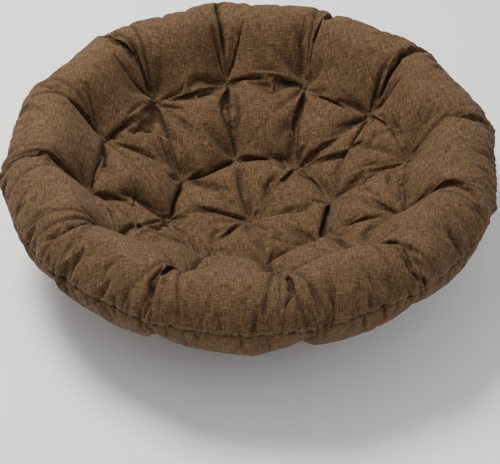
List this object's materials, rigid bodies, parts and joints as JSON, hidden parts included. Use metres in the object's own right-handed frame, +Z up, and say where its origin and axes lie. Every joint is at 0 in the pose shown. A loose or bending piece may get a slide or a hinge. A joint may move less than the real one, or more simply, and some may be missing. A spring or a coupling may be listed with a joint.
{
  "type": "chair seat pad",
  "caption": "Round, deeply tufted seat pad in woven fabric, dished to lie in a bowl chair, with a rolled rim and a sewn edge.",
  "frame": {"origin": "on the surface that the pad lies on, under the middle tuft", "axes": "+Z up out of the dish, -Y to the front of the chair, +X to the sitter's left when facing the front"},
  "size_m": [1.1998, 1.1996, 0.3673],
  "materials": {
    "fabric": "matte",
    "fill": "matte",
    "seam_thread": "matte",
    "topstitch_thread": "matte",
    "button": "satin",
    "twine": "matte"
  },
  "bodies": {
    "root": {"face_panel": "fabric", "back_panel": "fabric", "fibre_fill": "fill", "seam_thread": "seam_thread", "edge_topstitch": "topstitch_thread", "face_button_middle_01": "button", "face_button_inner_01": "button", "face_button_inner_02": "button", "face_button_inner_03": "button", "face_button_inner_04": "button", "face_button_inner_05": "button", "face_button_inner_06": "button", "face_button_inner_07": "button", "face_button_inner_08": "button", "face_button_outer_01": "button", "face_button_outer_02": "button", "face_button_outer_03": "button", "face_button_outer_04": "button", "face_button_outer_05": "button", "face_button_outer_06": "button", "face_button_outer_07": "button", "face_button_outer_08": "button", "face_button_outer_09": "button", "face_button_outer_10": "button", "face_button_outer_11": "button", "face_button_outer_12": "button", "back_buttons_middle": "button", "back_buttons_inner": "button", "back_buttons_outer": "button", "tuft_twine_middle_01": "twine", "tuft_twine_inner_01": "twine", "tuft_twine_inner_02": "twine", "tuft_twine_inner_03": "twine", "tuft_twine_inner_04": "twine", "tuft_twine_inner_05": "twine", "tuft_twine_inner_06": "twine", "tuft_twine_inner_07": "twine", "tuft_twine_inner_08": "twine", "tuft_twine_outer_01": "twine", "tuft_twine_outer_02": "twine", "tuft_twine_outer_03": "twine", "tuft_twine_outer_04": "twine", "tuft_twine_outer_05": "twine", "tuft_twine_outer_06": "twine", "tuft_twine_outer_07": "twine", "tuft_twine_outer_08": "twine", "tuft_twine_outer_09": "twine", "tuft_twine_outer_10": "twine", "tuft_twine_outer_11": "twine", "tuft_twine_outer_12": "twine"}
  },
  "joints": []
}
